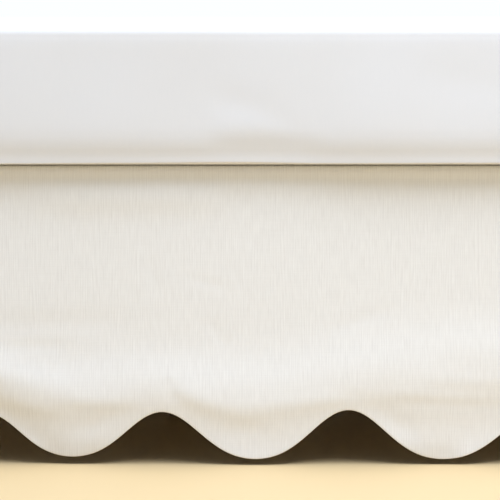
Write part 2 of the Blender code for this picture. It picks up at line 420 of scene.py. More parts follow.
# Small creases of the right drop: place along the bed and height above the floor, in metres
RIGHT_CREASES = (
    # The lip that drops towards the first whole lobe, and the flank that turns away under it
    Crease((-0.330, 0.086), (0.030, 0.084), -0.0010, 0.0180, form=CreaseForm.LIP),
    Crease((-0.275, 0.088), (-0.118, 0.059), 0.0004, 0.0085, form=CreaseForm.LIP),
    Crease((-0.250, 0.090), (-0.118, -0.006), -0.0055, 0.0185),
    Crease((-0.175, -0.004), (-0.045, 0.000), -0.0066, 0.0155),
    Crease((-0.330, 0.113), (-0.060, 0.110), -0.0003, 0.0140, form=CreaseForm.LIP),
    Crease((-0.110, 0.032), (0.000, 0.078), -0.0005, 0.0110, form=CreaseForm.LIP),
    Crease((-0.265, 0.096), (-0.165, 0.094), -0.0003, 0.0090, form=CreaseForm.LIP),
    # The lower edge of the fold over the first notch
    Crease((-0.165, 0.088), (0.012, 0.077), 0.0004, 0.0085),
    Crease((-0.128, 0.076), (-0.006, 0.068), 0.0002, 0.0060, form=CreaseForm.LIP),
    # The hanging bow of the fold over the middle lobe
    Crease((0.000, 0.103), (0.240, 0.088), 0.0006, 0.0100, bow=-0.026),
    Crease((0.000, 0.101), (0.140, 0.054), 0.0004, 0.0095, bow=-0.013, form=CreaseForm.LIP),
    Crease((0.075, 0.054), (0.245, 0.079), 0.0003, 0.0090, form=CreaseForm.LIP),
    Crease((0.060, 0.070), (0.360, 0.080), 0.0002, 0.0070, bow=0.002, form=CreaseForm.LIP),
    Crease((0.010, 0.112), (0.019, 0.078), -0.0006, 0.0070),
    # The straight lower edge of the fold towards the foot
    Crease((0.170, 0.088), (0.400, 0.089), -0.0003, 0.0150, form=CreaseForm.LIP),
    Crease((0.215, 0.096), (0.480, 0.081), 0.0003, 0.0065, bow=-0.006, form=CreaseForm.LIP),
    Crease((0.190, 0.099), (0.520, 0.096), 0.0005, 0.0105),
    Crease((0.250, 0.090), (0.308, 0.088), -0.0002, 0.0070, form=CreaseForm.LIP),
    Crease((0.260, 0.128), (0.540, 0.131), -0.0004, 0.0120),
    Crease((0.285, -0.004), (0.385, 0.004), -0.0036, 0.0130),
    Crease((0.250, 0.072), (0.325, 0.026), -0.0006, 0.0120, form=CreaseForm.LIP),
    Crease((0.330, 0.120), (0.520, 0.118), 0.0003, 0.0160, form=CreaseForm.LIP),
    Crease((0.330, 0.141), (0.520, 0.139), 0.0004, 0.0200, form=CreaseForm.LIP),
    Crease((0.050, 0.047), (0.160, 0.046), 0.0002, 0.0080, form=CreaseForm.LIP),
    # Fullness and slackness just under the seam
    Crease((-0.190, 0.337), (0.100, 0.339), 0.0019, 0.0130),
    Crease((-0.600, 0.3700), (0.750, 0.3640), 0.0003, 0.0055, form=CreaseForm.LIP),
    # Soft dents and one fine line on the plain part
    Crease((-0.270, 0.176), (-0.020, 0.181), -0.0006, 0.0100),
    Crease((-0.215, 0.149), (-0.105, 0.150), -0.0004, 0.0060),
    Crease((-0.014, 0.268), (-0.005, 0.208), -0.0004, 0.0045),
    Crease((0.028, 0.237), (0.088, 0.222), -0.0003, 0.0050),
    Crease((0.056, 0.188), (0.088, 0.144), -0.0004, 0.0060),
    Crease((0.086, 0.146), (0.136, 0.280), 0.0002, 0.0030, bow=0.006),
    Crease((0.210, 0.168), (0.300, 0.199), -0.0004, 0.0070),
    Crease((0.320, 0.102), (0.480, 0.098), 0.0003, 0.0085, form=CreaseForm.LIP),
    # Towards the foot corner
    Crease((0.470, 0.118), (0.640, 0.094), 0.0006, 0.0090, bow=0.006),
    Crease((0.560, 0.172), (0.700, 0.150), -0.0005, 0.0090),
    Crease((0.610, 0.086), (0.800, 0.076), 0.0004, 0.0065, bow=-0.012, form=CreaseForm.LIP),
    Crease((0.760, 0.235), (0.800, 0.165), -0.0004, 0.0060),
    Crease((0.800, 0.120), (0.930, 0.145), 0.0007, 0.0100),
    Crease((0.640, -0.002), (0.760, 0.003), -0.0022, 0.0150),
    # Towards the head corner
    Crease((-0.460, 0.104), (-0.260, 0.098), 0.0006, 0.0095, bow=-0.010),
    Crease((-0.430, 0.086), (-0.280, 0.090), 0.0003, 0.0055, bow=-0.012, form=CreaseForm.LIP),
    Crease((-0.400, 0.170), (-0.320, 0.205), -0.0004, 0.0075),
    Crease((-0.620, 0.128), (-0.430, 0.112), 0.0006, 0.0100),
    Crease((-0.600, 0.088), (-0.480, 0.076), 0.0004, 0.0060, form=CreaseForm.LIP),
    Crease((-0.680, 0.240), (-0.650, 0.180), -0.0004, 0.0055),
    Crease((-0.860, 0.118), (-0.660, 0.104), 0.0006, 0.0095, bow=0.008),
    Crease((-0.900, 0.080), (-0.740, 0.086), 0.0004, 0.0065, form=CreaseForm.LIP),
    Crease((-0.700, -0.003), (-0.580, 0.002), -0.0022, 0.0150),
)
# Those of the left and the foot drop, by place along the drop
LEFT_CREASES = (
    Crease((-0.920, 0.102), (-0.730, 0.118), 0.0006, 0.0100, bow=-0.008),
    Crease((-0.760, 0.078), (-0.600, 0.086), 0.0004, 0.0060, form=CreaseForm.LIP),
    Crease((-0.690, 0.230), (-0.660, 0.172), -0.0004, 0.0060),
    Crease((-0.560, 0.112), (-0.360, 0.096), 0.0006, 0.0090, bow=0.006),
    Crease((-0.500, 0.166), (-0.380, 0.184), -0.0005, 0.0085),
    Crease((-0.380, -0.003), (-0.260, 0.002), -0.0024, 0.0150),
    Crease((-0.300, 0.092), (-0.110, 0.082), 0.0005, 0.0065, bow=-0.012, form=CreaseForm.LIP),
    Crease((-0.170, 0.128), (0.030, 0.116), 0.0006, 0.0105),
    Crease((-0.060, 0.246), (-0.030, 0.196), -0.0004, 0.0050),
    Crease((0.060, 0.092), (0.230, 0.078), 0.0005, 0.0070, bow=-0.008, form=CreaseForm.LIP),
    Crease((0.180, 0.160), (0.320, 0.178), -0.0005, 0.0090),
    Crease((0.330, 0.106), (0.540, 0.092), 0.0006, 0.0095, bow=-0.010),
    Crease((0.430, -0.003), (0.550, 0.003), -0.0024, 0.0150),
    Crease((0.560, 0.084), (0.720, 0.094), 0.0004, 0.0060, form=CreaseForm.LIP),
    Crease((0.640, 0.226), (0.690, 0.176), -0.0004, 0.0060),
    Crease((0.750, 0.124), (0.920, 0.108), 0.0006, 0.0100, bow=0.008),
)
FOOT_CREASES = (
    Crease((-0.460, 0.120), (-0.290, 0.100), 0.0006, 0.0100, bow=0.006),
    Crease((-0.330, 0.082), (-0.180, 0.090), 0.0004, 0.0060, bow=-0.008, form=CreaseForm.LIP),
    Crease((-0.240, 0.214), (-0.200, 0.160), -0.0004, 0.0060),
    Crease((-0.180, -0.003), (-0.060, 0.002), -0.0022, 0.0150),
    Crease((-0.100, 0.110), (0.090, 0.100), 0.0006, 0.0095, bow=-0.008),
    Crease((0.040, 0.170), (0.160, 0.186), -0.0005, 0.0085),
    Crease((0.110, 0.090), (0.270, 0.078), 0.0005, 0.0065, form=CreaseForm.LIP),
    Crease((0.280, 0.118), (0.450, 0.130), 0.0006, 0.0100),
    Crease((0.330, 0.240), (0.350, 0.188), -0.0004, 0.0055),
)


@dataclass
class SkirtDrop:
    """One lined linen drop, over the foundation's edge and down to its scalloped hem."""

    side: Side
    lobes: int
    creases: tuple[Crease, ...]
    course_shift: float
    clearance: float = 0.0020
    inner_return: float = 0.0140
    bend_radius: float = 0.0110
    columns_per_lobe: int = 42
    return_rows: int = 3
    bend_rows: int = 8
    drop_rows: int = 104
    rim_radius: float = 0.0010
    hem: ScallopedHem = field(default_factory=ScallopedHem)
    fold: SoftFold = field(default_factory=SoftFold)
    looseness: Looseness = field(default_factory=Looseness)

    @property
    def node(self) -> str:
        """The solid that this drop stands for."""
        return f"skirt_drop_{self.side.value}"

    def placement(self) -> tuple[np.ndarray, np.ndarray, np.ndarray, float, float]:
        """Where the drop hangs.

        Returns:
            The middle of the foundation's edge, the way along it, the way out from it, and the
            places along it where the drop starts and ends.
        """
        low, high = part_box("bed_foundation")
        reach = self.clearance - SEAT
        half_length, half_width = high[0], high[1]
        if self.side is Side.RIGHT:
            middle, along, out = (0.0, low[1]), (-1.0, 0.0), (0.0, -1.0)
            start, end = -half_length - reach, half_length
        elif self.side is Side.LEFT:
            middle, along, out = (0.0, high[1]), (1.0, 0.0), (0.0, 1.0)
            start, end = -half_length, half_length + reach
        else:
            middle, along, out = (high[0], 0.0), (0.0, -1.0), (1.0, 0.0)
            start, end = -half_width - reach, half_width + reach
        return np.array(middle), np.array(along), np.array(out), start, end

    def course(self, station: np.ndarray) -> np.ndarray:
        """Place on the wandering of fold and hem: along the bed on the right drop, shifted elsewhere."""
        return -station if self.side is Side.RIGHT else station + self.course_shift

    def rim_steps(self) -> np.ndarray:
        """Distances of the rows or columns that round the rim, from the border inwards."""
        return self.rim_radius * RIM_SHARES

    def rows(self) -> tuple[np.ndarray, np.ndarray, np.ndarray, np.ndarray]:
        """The way down the cloth: flat on the foundation, a quarter turn over its edge, then hanging.

        Returns:
            For each row, how far out it lies, its height before the drop, its share of the drop,
            and its length along the cloth from the deck's seam, which ends where the drop begins.
        """
        hang = self.clearance + CLOTH / 2
        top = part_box("bed_foundation")[1][2] + SEAT + CLOTH / 2
        flat_end = hang - self.bend_radius
        rim = self.rim_steps()
        edge = -self.inner_return
        flat = np.linspace(edge + self.rim_radius, flat_end, self.return_rows, endpoint=False)
        flat = np.concatenate([edge + rim, flat])
        turn = np.linspace(0.0, math.pi / 2, self.bend_rows, endpoint=False)
        length = top - self.bend_radius
        hung = np.linspace(0.0, 1.0 - self.rim_radius / length, self.drop_rows)
        hung = np.concatenate([hung, 1.0 - rim[::-1] / length])
        bend_out = hang - self.bend_radius * (1 - np.sin(turn))
        bend_top = top - self.bend_radius * (1 - np.cos(turn))
        out = np.concatenate([flat, bend_out, np.full(hung.size, hang)])
        height = np.concatenate([np.full(flat.size, top), bend_top, np.full(hung.size, length)])
        share = np.concatenate([np.zeros(flat.size + turn.size), hung])
        bend = flat_end - edge + self.bend_radius * turn
        over = flat_end - edge + self.bend_radius * math.pi / 2
        run = np.concatenate([flat - edge, bend, np.full(hung.size, over)])
        return out, height, share, run

    def columns(self, start: float, end: float) -> np.ndarray:
        """Places along the drop: even ones, with closer ones to round the rim at both ends.

        Args:
            start: place along the edge where the drop starts.
            end: place where it ends.

        Returns:
            The places as shares of the drop's length, in order.
        """
        rim = self.rim_steps() / (end - start)
        first = self.rim_radius / (end - start)
        body = np.linspace(first, 1.0 - first, self.lobes * self.columns_per_lobe)
        return np.concatenate([rim, body, 1.0 - rim[::-1]])

    def build(self) -> bpy.types.Object:
        """Works out the cloth's centre surface and closes it into a sheet.

        Each point starts at its place on the row's path. Its height falls from the top of the
        drop to the hem by the row's share, and the fold, the looseness and the creases move it
        outwards, in full on the drop and by the sine of the turn on the bend. The return and the
        bend are mitred by the clearance at a corner.

        Returns:
            The sheet.
        """
        middle, along, outward, start, end = self.placement()
        out, top, drop, run = (row[:, None] for row in self.rows())
        share = self.columns(start, end)[None, :]
        inside = np.clip(self.clearance + CLOTH / 2 - out, 0.0, None)
        loose = np.clip(1 - inside / self.bend_radius, 0.0, 1.0)
        mitre_start = self.side is not Side.LEFT
        mitre_end = self.side is not Side.RIGHT
        row_start = start + inside * mitre_start
        row_end = end - inside * mitre_end
        station = row_start + (row_end - row_start) * share
        course = self.course(station)
        hem = self.hem.height(share * self.lobes, course)
        height = top - drop * (top - hem)
        to_end = np.minimum(station - start, end - station)
        relief = self.fold.relief(course, height) + self.looseness.relief(course, height, drop, to_end)
        for crease in self.creases:
            relief = relief + crease.relief(course, height)
        reach = out + relief * loose
        ground = middle + station[..., None] * along + reach[..., None] * outward
        centre = np.concatenate([ground, height[..., None]], axis=2)
        down = run + np.where(drop > 0, top - height, 0.0)
        to_hem = (1 - drop) * top
        to_side = np.minimum(share, 1 - share) * (end - start)
        thickness = CLOTH * rim_share(np.minimum(np.minimum(to_hem, to_side), down), self.rim_radius)
        uv = np.stack([station, -down], axis=2)
        return closed_sheet(f"linen_drop_{self.side.value}", centre, thickness, uv)

    def cut(self) -> tuple[float, float, float]:
        """The size of the cloth before it was hung.

        The area of a scalloped strip is its width times its mean length, because each cosine wave
        has as much above its middle as below it, less the pinch.

        Returns:
            The cut's width, its length and its area.
        """
        _, _, _, start, end = self.placement()
        _, height, _, run = self.rows()
        width = end - start
        over, length = run[-1], height[-1]
        mean_hem = self.hem.clearance + self.hem.lift + self.hem.depth / 2 - self.hem.pinch
        return width, over + length - self.hem.clearance, width * (over + length - mean_hem)


@dataclass
class SkirtDeck:
    """The flat cotton deck between the foundation and the mattress."""

    rim_radius: float = 0.0010
    steps_along: int = 90
    steps_across: int = 46

    def places(self, first: float, last: float, steps: int) -> np.ndarray:
        """Even places from one edge to the other, with closer ones to round each rim.

        Args:
            first: the place of one edge, in metres.
            last: the place of the other edge.
            steps: how many even places.

        Returns:
            The places, in order.
        """
        way = math.copysign(1.0, last - first)
        rim = way * self.rim_radius * RIM_SHARES
        body = np.linspace(first + way * self.rim_radius, last - way * self.rim_radius, steps)
        return np.concatenate([first + rim, body, last - rim[::-1]])

    def build(self) -> bpy.types.Object:
        """A flat sheet at the height of the drops' returns, its rim rounded.

        Returns:
            The sheet.
        """
        low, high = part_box("skirt_deck")
        x = self.places(low[0], high[0], self.steps_along)
        y = self.places(high[1], low[1], self.steps_across)
        x, y = np.meshgrid(x, y)
        centre = np.stack([x, y, np.full_like(x, (low[2] + high[2]) / 2)], axis=2)
        border = np.minimum.reduce([x - low[0], high[0] - x, y - low[1], high[1] - y])
        thickness = CLOTH * rim_share(border, self.rim_radius)
        return closed_sheet("cotton_deck", centre, thickness, np.stack([x, y], axis=2))


@dataclass(frozen=True)
class RoundedOutline:
    """A rectangle with round corners, walked anticlockwise as seen from above."""

    half_x: float
    half_y: float
    corner: float
    steps_x: int
    steps_y: int
    corner_steps: int

    def walk(self) -> tuple[np.ndarray, np.ndarray, np.ndarray]:
        """The outline's points, as an inner rectangle and the way out from it.

        At a corner the inner point stays while the way out turns a quarter, and along a side the
        inner point moves while the way out stays.

        Returns:
            The inner points, the outward ways, and the length of outline before each point.
        """
        inner_x, inner_y = self.half_x - self.corner, self.half_y - self.corner
        inner, outward = [], []
        corners = [(1, 1), (-1, 1), (-1, -1), (1, -1)]
        for number, (sign_x, sign_y) in enumerate(corners):
            here = np.array([sign_x * inner_x, sign_y * inner_y])
            next_x, next_y = corners[(number + 1) % 4]
            there = np.array([next_x * inner_x, next_y * inner_y])
            turn = math.pi / 2 * (number + np.linspace(0.0, 1.0, self.corner_steps + 1))
            inner.append(np.repeat(here[None], turn.size, axis=0))
            outward.append(np.stack([np.cos(turn), np.sin(turn)], axis=1))
            steps = self.steps_x if sign_y == next_y else self.steps_y
            share = np.linspace(0.0, 1.0, steps + 1)[1:-1, None]
            inner.append(here + share * (there - here))
            outward.append(np.repeat(outward[-1][-1:], share.size, axis=0))
        inner, outward = np.vstack(inner), np.vstack(outward)
        outline = inner + self.corner * outward
        gaps = np.linalg.norm(np.diff(outline, axis=0), axis=1)
        return inner, outward, np.concatenate([[0.0], np.cumsum(gaps)])


@dataclass(frozen=True)
class Section:
    """One level of an upholstered form: height above its underside, and how far it stands out."""

    height: float
    out: float


@dataclass
class RingStack:
    """A closed soft box: a side profile carried round an outline, and drawn in to its middle line."""

    name: str
    outline: RoundedOutline
    sections: tuple[Section, ...]
    base: float
    steps: int
    bottom_shares: tuple[float, ...]
    top_shares: tuple[float, ...]

    def rings(self) -> tuple[np.ndarray, np.ndarray, np.ndarray]:
        """The rings from the middle of the underside, up the side and to the middle of the top.

        Returns:
            For each ring, how far out from the outline it lies, its height, and its share of the
            way from the middle line.
        """
        table = np.array([(section.out, section.height) for section in self.sections])
        side = smooth_through(table, self.steps)
        bottom = np.repeat(side[:1], len(self.bottom_shares), axis=0)
        top = np.repeat(side[-1:], len(self.top_shares), axis=0)
        out, height = np.vstack([bottom, side, top]).T
        share = np.concatenate([self.bottom_shares, np.ones(len(side)), self.top_shares])
        return out, height, share

    def build(
        self,
        relief: SideMove | None = None,
        sink: TopMove | None = None,
        lift: SideMove | None = None,
    ) -> bpy.types.Object:
        """Carries the rings round the outline and closes them along the middle line.

        A point is its inner point, moved out by the corner radius and the ring's reach, then
        drawn to the nearest place on the middle line by the ring's share.

        Args:
            relief: gives the outward move of the side from length round, height, x and y.
            sink: gives the downward move of the top from share, x and y.
            lift: gives the upward move of the side from how far out, height, x and y.

        Returns:
            The new object.
        """
        inner, outward, around = self.outline.walk()
        out, height, share = (ring[:, None] for ring in self.rings())
        height = height + np.zeros((1, around.size))
        edge = inner + self.outline.corner * outward
        reach = out + np.zeros_like(height)
        x, y = edge.T[:, None, :]
        if relief is not None:
            reach = reach + relief(around[None, :], height, x, y) * (share >= 1)
        ring = inner + (self.outline.corner + reach)[..., None] * outward
        line = self.outline.half_x - self.outline.half_y
        middle = np.stack([np.clip(edge[:, 0], -line, line), np.zeros(around.size)], axis=1)
        ground = middle + share[..., None] * (ring - middle)
        if lift is not None:
            height = height + lift(out, height, x, y) * (share >= 1)
        if sink is not None:
            upper = height > self.sections[-1].height / 2
            height = height - sink(share, ground[..., 0], ground[..., 1]) * (upper & (share < 1))
        points = np.concatenate([ground, (self.base + height)[..., None]], axis=2)
        closed = np.concatenate([points, points[:, :1]], axis=1)
        faces = grid_faces(*closed.shape[:2])
        length = np.concatenate([around, [around[-1] + np.linalg.norm(edge[0] - edge[-1])]])
        on_side = np.stack(np.broadcast_arrays(length[None, :], closed[..., 2]), axis=2).reshape(-1, 2)
        on_top = closed[..., :2].reshape(-1, 2)
        flat = np.broadcast_to(share < 1, closed.shape[:2]).ravel()[faces].any(axis=1)
        corner_uv = np.where(flat[:, None, None], on_top[faces], on_side[faces])
        return add_mesh(self.name, closed, faces, corner_uv, weld=True)


# The mattress's side from its underside to its top: height above the underside, and how far out
MATTRESS_SECTIONS = (
    Section(0.0000, -0.0120),
    Section(0.0000, -0.0060),
    Section(-0.0004, -0.0025),
    Section(-0.0008, 0.0002),
    Section(-0.0009, 0.0016),
    Section(-0.0007, 0.0027),
    Section(-0.0001, 0.0032),
    Section(0.0012, 0.0034),
    Section(0.0040, 0.0036),
    Section(0.0080, 0.0040),
    Section(0.0130, 0.0048),
    Section(0.0180, 0.0058),
    Section(0.0240, 0.0067),
    Section(0.0300, 0.0073),
    Section(0.0360, 0.0076),
    Section(0.0430, 0.0078),
    Section(0.0600, 0.0078),
    Section(0.0900, 0.0077),
    Section(0.1250, 0.0078),
    Section(0.1430, 0.0080),
    Section(0.1520, 0.0080),
    Section(0.1570, 0.0078),
    Section(0.1600, 0.0077),
    Section(0.1630, 0.0073),
    Section(0.1660, 0.0062),
    Section(0.1700, 0.0033),
    Section(0.1750, -0.0023),
    Section(0.1800, -0.0100),
    Section(0.1845, -0.0196),
    Section(0.1880, -0.0318),
    Section(0.1900, -0.0480),
)
# Soft dents of the mattress's right side: place along the bed and height above its underside
MATTRESS_CREASES = (
    # The broad outward swell of the lower side
    Crease((-1.050, 0.020), (1.050, 0.020), 0.0025, 0.3000),
    Crease((-0.520, 0.000), (-0.120, 0.000), 0.0018, 0.1200),
    Crease((0.180, 0.000), (0.640, 0.000), 0.0034, 0.1200),
    # Slack dents, and fine lips close to the underside
    Crease((0.050, 0.090), (0.190, 0.042), -0.0006, 0.0100),
    Crease((0.050, 0.033), (0.200, 0.036), 0.0005, 0.0130, form=CreaseForm.LIP),
    Crease((0.050, 0.026), (0.220, 0.027), 0.0003, 0.0100, form=CreaseForm.LIP),
    Crease((0.080, 0.050), (0.200, 0.050), 0.0002, 0.0120, form=CreaseForm.LIP),
    Crease((0.300, 0.110), (0.460, 0.088), -0.0004, 0.0120),
    Crease((-0.420, 0.050), (-0.300, 0.086), -0.0006, 0.0110),
    Crease((-0.780, 0.096), (-0.640, 0.060), -0.0006, 0.0110),
    Crease((0.620, 0.052), (0.780, 0.090), -0.0006, 0.0110),
)


@dataclass(frozen=True)
class SlackWave:
    """A slow wave over a stretched cover.

    Attributes:
        length: length of one whole wave, in metres.
        phase: where the wave begins, in radians.
        slant: how far the wave moves on for each metre of the other direction.
    """

    length: float
    phase: float
    slant: float = 0.0

    def level(self, place: np.ndarray, beside: np.ndarray) -> np.ndarray:
        """The wave from -1 to 1, by the place in its own direction and in the other."""
        return wave(place + self.slant * beside, self.length, self.phase)


@dataclass
class Mattress:
    """The mattress in its smooth white cover, crowned at its sides over a narrow lower ridge."""

    corner: float = 0.065
    crown: float = 0.0080
    creases: tuple[Crease, ...] = MATTRESS_CREASES
    gather_rise: float = 0.0008
    gather_wave: float = 0.0150
    gather_height: float = 0.0260
    gather_spread: float = 0.060
    slack_rise: float = 0.0005
    slack_round: SlackWave = SlackWave(length=0.37, phase=0.6, slant=0.4)
    slack_up: SlackWave = SlackWave(length=0.31, phase=0.9)
    slack_short: SlackWave = SlackWave(length=0.163, phase=2.1, slant=-0.7)
    top_slack: float = 0.0012
    top_along: SlackWave = SlackWave(length=0.52, phase=0.4, slant=0.3)
    top_across: SlackWave = SlackWave(length=0.41, phase=1.3, slant=-0.2)
    rim_lift: float = 0.0018
    rim_lift_place: float = 0.105
    rim_lift_breadth: float = 0.095
    rim_lift_height: float = 0.012
    rim_slow_share: float = 0.25
    rim_slow: SlackWave = SlackWave(length=0.43, phase=0.8, slant=0.7)
    rim_start: float = -0.006
    rim_ramp: float = 0.007
    fill: float = 0.95

    def side_relief(
        self, around: np.ndarray, height: np.ndarray, x: np.ndarray, y: np.ndarray
    ) -> np.ndarray:
        """Soft unevenness of the side: listed creases, slack waves, and gathers at the corners.

        The gathers are a wave round the outline that fades upwards by an exponential and away
        from the corner's middle by a bell curve.

        Args:
            around: length of outline before each point.
            height: height above the underside.
            x: place along the bed.
            y: place across the bed.

        Returns:
            The outward move, in metres.
        """
        low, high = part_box("mattress")
        front = y < low[1] + self.corner
        relief = self.slack_rise * self.slack_round.level(around, height)
        relief = relief * self.slack_up.level(height, around)
        relief = relief + self.slack_rise / 2 * self.slack_short.level(around, height)
        for crease in self.creases:
            relief = relief + crease.relief(x, height) * front
        to_end, to_side = high[0] - np.abs(x), high[1] - np.abs(y)
        from_corner = np.hypot(to_end - self.corner / 2, to_side - self.corner / 2)
        near = np.exp(-((from_corner / self.gather_spread) ** 2) / 2)
        gathers = wave(around, self.gather_wave) * np.exp(-height / self.gather_height)
        return relief + self.gather_rise * near * gathers

    def rim_rise(
        self, out: np.ndarray, height: np.ndarray, x: np.ndarray, y: np.ndarray
    ) -> np.ndarray:
        """Upward moves of the sagging lower rim: one bell on the right side, slow waves all round.

        Both fade upwards by an exponential, and inwards to nothing where the underside is flat.

        Args:
            out: how far out the ring lies.
            height: height above the underside.
            x: place along the bed.
            y: place across the bed.

        Returns:
            The upward move, in metres.
        """
        bell = np.exp(-(((x - self.rim_lift_place) / self.rim_lift_breadth) ** 2)) * (y < 0)
        slow = self.rim_slow_share * self.rim_slow.level(x, y)
        hanging = np.clip((out - self.rim_start) / self.rim_ramp, 0.0, 1.0)
        hanging = hanging * np.exp(-np.abs(height) / self.rim_lift_height)
        return self.rim_lift * (bell + slow) * hanging

    def top_sink(self, share: np.ndarray, x: np.ndarray, y: np.ndarray) -> np.ndarray:
        """How far the top lies below its highest level: crossed slow waves that fade to the rim."""
        slack = (1 + self.top_along.level(x, y) * self.top_across.level(y, x)) / 2
        return self.top_slack * slack * (1 - share) ** 0.5

    def build(self) -> bpy.types.Object:
        """Carries the side profile round the mattress.

        Returns:
            The mattress.
        """
        low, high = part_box("mattress")
        outline = RoundedOutline(
            half_x=high[0] - self.crown,
            half_y=high[1] - self.crown,
            corner=self.corner,
            steps_x=230,
            steps_y=120,
            corner_steps=26,
        )
        stack = RingStack(
            name="mattress_cover",
            outline=outline,
            sections=MATTRESS_SECTIONS,
            base=low[2],
            steps=3,
            bottom_shares=(0.0, 0.5, 0.85, 0.97),
            top_shares=(0.985, 0.955, 0.92, 0.87, 0.81, 0.74, 0.66, 0.57, 0.48, 0.38, 0.28, 0.18, 0.09, 0.0),
        )
        return stack.build(relief=self.side_relief, sink=self.top_sink, lift=self.rim_rise)


# The foundation's side, with its two rolled edges
FOUNDATION_SECTIONS = (
    Section(0.0000, -0.0060),
    Section(0.0010, -0.0022),
    Section(0.0040, -0.0002),
    Section(0.0070, -0.0004),
    Section(0.0095, -0.0020),
    Section(0.0140, -0.0012),
    Section(0.0300, -0.0008),
    Section(0.0950, -0.0005),
    Section(0.1600, -0.0008),
    Section(0.1780, -0.0012),
    Section(0.1830, -0.0020),
    Section(0.1870, -0.0014),
    Section(0.1905, -0.0038),
    Section(0.1935, -0.0080),
    Section(0.1948, -0.0130),
    Section(0.1950, -0.0200),
)


@dataclass
class Foundation:
    """The plain boxed base in ticking, with a rolled edge above and below."""

    corner: float = 0.030

    def build(self) -> bpy.types.Object:
        """Carries the side profile round the foundation.

        Returns:
            The foundation.
        """
        low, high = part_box("bed_foundation")
        outline = RoundedOutline(
            half_x=high[0],
            half_y=high[1],
            corner=self.corner,
            steps_x=96,
            steps_y=52,
            corner_steps=10,
        )
        stack = RingStack(
            name="ticking_foundation",
            outline=outline,
            sections=FOUNDATION_SECTIONS,
            base=low[2],
            steps=3,
            bottom_shares=(0.0, 0.5, 0.9, 0.98),
            top_shares=(0.98, 0.93, 0.8, 0.6, 0.3, 0.0),
        )
        return stack.build()


@dataclass
class Leg:
    """A turned wooden leg that tapers to its foot."""

    node: str
    foot_radius: float = 0.0200
    rounding: float = 0.0022
    swell: float = 0.0012
    sides: int = 56
    steps: int = 22
    rounding_steps: int = 7

    def build(self) -> bpy.types.Object:
        """Turns the leg's profile round its axis.

        The profile runs from the middle of the foot, round a quarter circle, up a straight taper
        that swells by a half sine, round a quarter circle and to the middle of the top.

        Returns:
            The leg.
        """
        low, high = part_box(self.node)
        centre_x, centre_y = (low[0] + high[0]) / 2, (low[1] + high[1]) / 2
        top_radius = (high[0] - low[0]) / 2
        quarter = np.linspace(0.0, math.pi / 2, self.rounding_steps)
        up = np.linspace(0.0, 1.0, self.steps)
        body = self.foot_radius + (top_radius - self.foot_radius) * up
        body = body + self.swell * np.sin(math.pi * up)
        body_z = low[2] + self.rounding + (high[2] - low[2] - 2 * self.rounding) * up
        foot = self.foot_radius - self.rounding * (1 - np.sin(quarter[:-1]))
        foot_z = low[2] + self.rounding * (1 - np.cos(quarter[:-1]))
        top = top_radius - self.rounding * (1 - np.cos(quarter[1:]))
        top_z = high[2] - self.rounding * (1 - np.sin(quarter[1:]))
        radius = np.concatenate([[0.0, foot[0] / 2], foot, body, top, [top[-1] / 2, 0.0]])[:, None]
        height = np.concatenate([[low[2]] * 2, foot_z, body_z, top_z, [high[2]] * 2])[:, None]
        turn = np.linspace(0.0, 2 * math.pi, self.sides + 1)[None, :]
        points = np.stack(
            np.broadcast_arrays(centre_x + radius * np.cos(turn), centre_y + radius * np.sin(turn), height),
            axis=2,
        )
        return add_mesh(f"turned_{self.node}", points, grid_faces(*points.shape[:2]), weld=True)


class NodeDesk:
    """Adds nodes to one tree and joins them."""

    def __init__(self, tree: bpy.types.NodeTree) -> None:
        """Keeps the tree."""
        self.tree = tree

    def add(self, kind: str, **settings: object) -> bpy.types.Node:
        """Adds a node.

        Args:
            kind: the node's type.
            **settings: values for the node's own properties.

        Returns:
            The new node.
        """
        node = self.tree.nodes.new(kind)
        for name, value in settings.items():
            setattr(node, name, value)
        return node

    def feed(self, socket: bpy.types.NodeSocket, source: Source) -> None:
        """Joins a socket to another, or sets its number or colour.

        Args:
            socket: the socket to feed.
            source: what it takes.
        """
        if isinstance(source, bpy.types.NodeSocket):
            self.tree.links.new(source, socket)
        else:
            socket.default_value = source

    def math(self, operation: str, *sources: Source) -> bpy.types.NodeSocket:
        """Works out one step of arithmetic.

        Args:
            operation: the Math node's operation.
            *sources: one to three numbers.

        Returns:
            The result.
        """
        node = self.add("ShaderNodeMath", operation=operation)
        for socket, source in zip(node.inputs, sources):
            self.feed(socket, source)
        return node.outputs[0]

    def scaled(
        self, vector: bpy.types.NodeSocket, scale: tuple[float, float, float]
    ) -> bpy.types.NodeSocket:
        """Scales each part of a vector by its own amount.

        Args:
            vector: the vector.
            scale: the three amounts.

        Returns:
            The scaled vector.
        """
        node = self.add("ShaderNodeVectorMath", operation="MULTIPLY")
        self.feed(node.inputs[0], vector)
        node.inputs[1].default_value = scale
        return node.outputs[0]

    def noise(self, vector: bpy.types.NodeSocket, scale: float, detail: float = 2.0) -> bpy.types.NodeSocket:
        """Reads a noise texture.

        Args:
            vector: where it is read.
            scale: how fine it is, in waves to a metre.
            detail: how many finer layers it has.

        Returns:
            Its level, from 0 to 1.
        """
        node = self.add("ShaderNodeTexNoise")
        self.feed(node.inputs["Vector"], vector)
        node.inputs["Scale"].default_value = scale
        node.inputs["Detail"].default_value = detail
        return node.outputs[0]

    def blend(self, share: Source, first: Source, second: Source) -> bpy.types.NodeSocket:
        """Mixes two colours.

        Args:
            share: how much of the second colour there is, from 0 to 1.
            first: the first colour.
            second: the second colour.

        Returns:
            The mixed colour.
        """
        node = self.add("ShaderNodeMix", data_type="RGBA")
        for name, source in zip(("Factor_Float", "A_Color", "B_Color"), (share, first, second)):
            self.feed(next(socket for socket in node.inputs if socket.identifier == name), source)
        return next(socket for socket in node.outputs if socket.identifier == "Result_Color")


